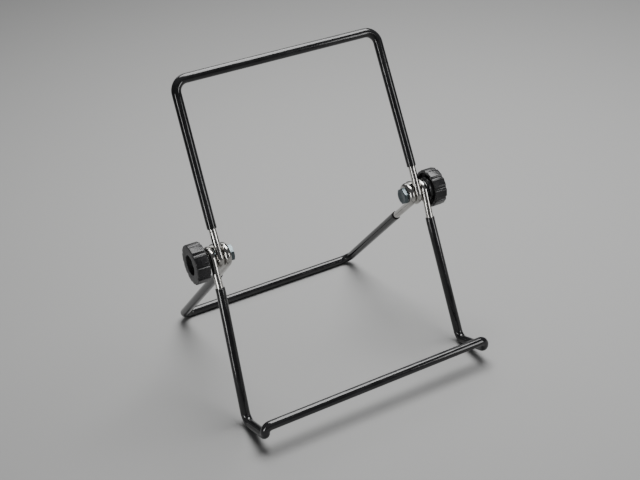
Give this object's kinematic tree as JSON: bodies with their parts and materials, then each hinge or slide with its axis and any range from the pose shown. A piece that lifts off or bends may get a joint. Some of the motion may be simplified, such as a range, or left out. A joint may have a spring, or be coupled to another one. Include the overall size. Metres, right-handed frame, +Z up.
{
  "type": "tablet stand",
  "caption": "Folding easel stand for a small tablet: bent plated wire frames in black sleeves on one hinge line, with a front ledge, a rear leg and lobed hand knobs that clamp the angle.",
  "frame": {"origin": "middle of the footprint, on the table", "axes": "+Z up, +X along the hinge line to the viewer's right, -Y the side that the tablet faces"},
  "size_m": [0.1448, 0.136, 0.1657],
  "materials": {
    "plated_wire": "bright nickel plate with faint drawing marks",
    "black_sleeve": "glossy black shrunk plastic sleeve",
    "zinc_bolt": "bluish zinc plate, satin",
    "washer_steel": "dull zinc plate",
    "nut_steel": "zinc plate, satin",
    "knob_plastic": "black moulded plastic, satin"
  },
  "bodies": {
    "lower_frame": {"lower_frame_wire": "plated_wire", "lower_frame_sleeve": "black_sleeve", "left_bolt": "zinc_bolt", "right_bolt": "zinc_bolt"},
    "upper_frame": {"upper_frame_wire": "plated_wire", "upper_frame_sleeve": "black_sleeve"},
    "rear_leg": {"rear_leg_wire": "plated_wire", "rear_leg_sleeve": "black_sleeve"},
    "left_washer": {"left_thrust_washer": "washer_steel"},
    "right_washer": {"right_thrust_washer": "washer_steel"},
    "left_knob": {"left_knob": "knob_plastic", "left_knob_nut": "nut_steel"},
    "right_knob": {"right_knob": "knob_plastic", "right_knob_nut": "nut_steel"}
  },
  "joints": [
    {"name": "back_rest_tilt", "type": "hinge", "parent": "lower_frame", "child": "upper_frame", "pos_m": [0, -0.0112, 0.081], "axis": [1, 0, 0], "range_deg": [-85, 140]},
    {"name": "rear_leg_swing", "type": "hinge", "parent": "lower_frame", "child": "rear_leg", "pos_m": [0, -0.0112, 0.081], "axis": [1, 0, 0], "range_deg": [-65, 19]},
    {"name": "left_knob_travel", "type": "slide", "parent": "lower_frame", "child": "left_washer", "axis": [-1, 0, 0], "range_m": [0, 0.0017]},
    {"name": "left_knob_turn", "type": "hinge", "parent": "left_washer", "child": "left_knob", "pos_m": [-0.0654, -0.0112, 0.081], "axis": [-1, 0, 0], "range_deg": [0, 720]},
    {"name": "right_knob_travel", "type": "slide", "parent": "lower_frame", "child": "right_washer", "axis": [1, 0, 0], "range_m": [0, 0.0017]},
    {"name": "right_knob_turn", "type": "hinge", "parent": "right_washer", "child": "right_knob", "pos_m": [0.0654, -0.0112, 0.081], "axis": [1, 0, 0], "range_deg": [0, 720]}
  ],
  "couplings": [
    {"joint": "left_knob_travel", "follows": "left_knob_turn", "m_per_rad": 0.00012732},
    {"joint": "right_knob_travel", "follows": "right_knob_turn", "m_per_rad": 0.00012732}
  ]
}
